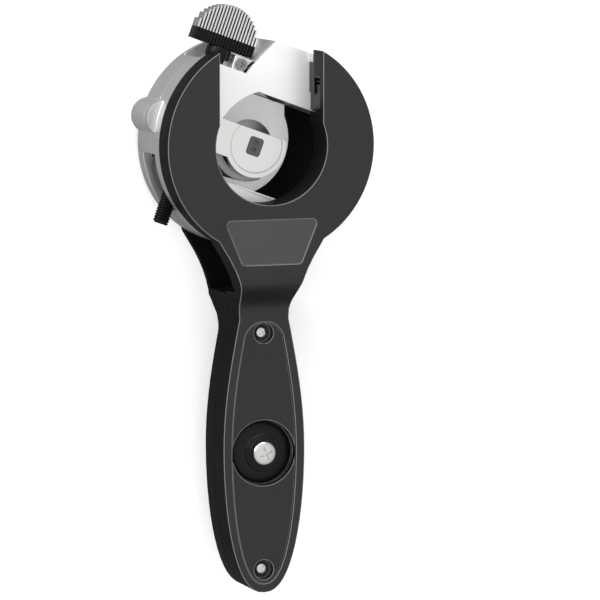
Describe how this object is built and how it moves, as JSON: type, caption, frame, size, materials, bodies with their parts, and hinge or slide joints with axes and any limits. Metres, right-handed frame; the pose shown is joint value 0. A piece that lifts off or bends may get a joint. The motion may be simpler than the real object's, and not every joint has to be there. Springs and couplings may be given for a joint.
{
  "type": "ratcheting tube cutter",
  "caption": "Close-quarters tube cutter with a screw-fed cutting wheel, turning in the slotted head of a ratchet handle that stores a spare wheel.",
  "frame": {"origin": "on the tube's axis, in the plane of the head's rear face, on which the tool lies", "axes": "+Z along the tube's axis towards the front face, +Y towards the slot's mouth, handle along -Y"},
  "size_m": [0.0784, 0.2097, 0.0412],
  "materials": {
    "black_shell": "satin black coating",
    "panel": "fine satin",
    "name_plate": "satin",
    "dark_steel": "blackened",
    "black_oxide_steel": "black oxide",
    "hardened_steel": "ground",
    "brass_nut": "turned",
    "cast_body": "die cast, satin",
    "polished_steel": "polished",
    "slide_steel": "machined",
    "wheel_steel": "ground",
    "key_metal": "die cast, ribbed",
    "bright_steel": "zinc plated"
  },
  "bodies": {
    "handle": {"handle_front_shell": "black_shell", "handle_back_shell": "black_shell", "grip_panel": "panel", "blank_name_plate": "name_plate", "panel_screws": "bright_steel", "spare_wheel": "black_oxide_steel", "spare_wheel_screw": "bright_steel", "spare_wheel_nut": "brass_nut", "ring_cover_plate": "dark_steel", "cover_screws": "dark_steel", "pawl_pins": "hardened_steel", "pawl_springs": "hardened_steel"},
    "pawl_a": {"pawl_left": "hardened_steel"},
    "pawl_b": {"pawl_bottom": "hardened_steel"},
    "pawl_c": {"pawl_right": "hardened_steel"},
    "cutter": {"body_rear_half": "cast_body", "body_front_half": "cast_body", "front_plate": "polished_steel", "ratchet_ring": "dark_steel", "ratchet_screws": "dark_steel", "body_screws": "bright_steel", "plate_screw": "bright_steel", "screw_bush": "dark_steel", "window_pin": "bright_steel", "roller_pins": "bright_steel"},
    "roller_a": {"roller_left": "bright_steel"},
    "roller_b": {"roller_right": "bright_steel"},
    "feed": {"feed_screw": "black_oxide_steel", "thumb_key": "key_metal", "key_pin": "bright_steel", "screw_clip": "bright_steel"},
    "slide": {"slide_block": "slide_steel", "front_cheek": "polished_steel", "wheel_axle": "bright_steel", "axle_keeper": "hardened_steel"},
    "wheel": {"cutting_wheel": "wheel_steel"}
  },
  "joints": [
    {"name": "cutter_turn", "type": "hinge", "parent": "handle", "child": "cutter", "pos_m": [0, 0, 0.03], "axis": [0, 0, 1], "continuous": true},
    {"name": "feed_turn", "type": "hinge", "parent": "cutter", "child": "feed", "pos_m": [-0.02105, 0.00766, 0.0182], "axis": [0.342, 0.9397, 0], "range_deg": [-1665, 7065]},
    {"name": "slide_travel", "type": "slide", "parent": "cutter", "child": "slide", "axis": [0.342, 0.9397, 0], "range_m": [-0.0196, 0.0046]},
    {"name": "wheel_turn", "type": "hinge", "parent": "slide", "child": "wheel", "pos_m": [-0.00034, -0.00094, 0.0162], "axis": [0, 0, 1], "continuous": true},
    {"name": "roller_left_turn", "type": "hinge", "parent": "cutter", "child": "roller_a", "pos_m": [0.00159, 0.02337, 0.015], "axis": [0, 0, 1], "continuous": true},
    {"name": "roller_right_turn", "type": "hinge", "parent": "cutter", "child": "roller_b", "pos_m": [0.0138, 0.01892, 0.015], "axis": [0, 0, 1], "continuous": true},
    {"name": "pawl_left_lift", "type": "hinge", "parent": "handle", "child": "pawl_a", "pos_m": [-0.0245, 0.02285, 0.0345], "axis": [0, 0, -1], "range_deg": [0, 13], "stiffness_Nm_per_rad": 0.0002, "springref_deg": -28.65},
    {"name": "pawl_bottom_lift", "type": "hinge", "parent": "handle", "child": "pawl_b", "pos_m": [-0.00754, -0.03264, 0.0345], "axis": [0, 0, -1], "range_deg": [0, 13], "stiffness_Nm_per_rad": 0.0002, "springref_deg": -28.65},
    {"name": "pawl_right_lift", "type": "hinge", "parent": "handle", "child": "pawl_c", "pos_m": [0.03204, 0.00979, 0.0345], "axis": [0, 0, -1], "range_deg": [0, 13], "stiffness_Nm_per_rad": 0.0002, "springref_deg": -28.65}
  ],
  "couplings": [
    {"joint": "feed_turn", "follows": "slide_travel", "rad_per_m": -6283.2}
  ]
}
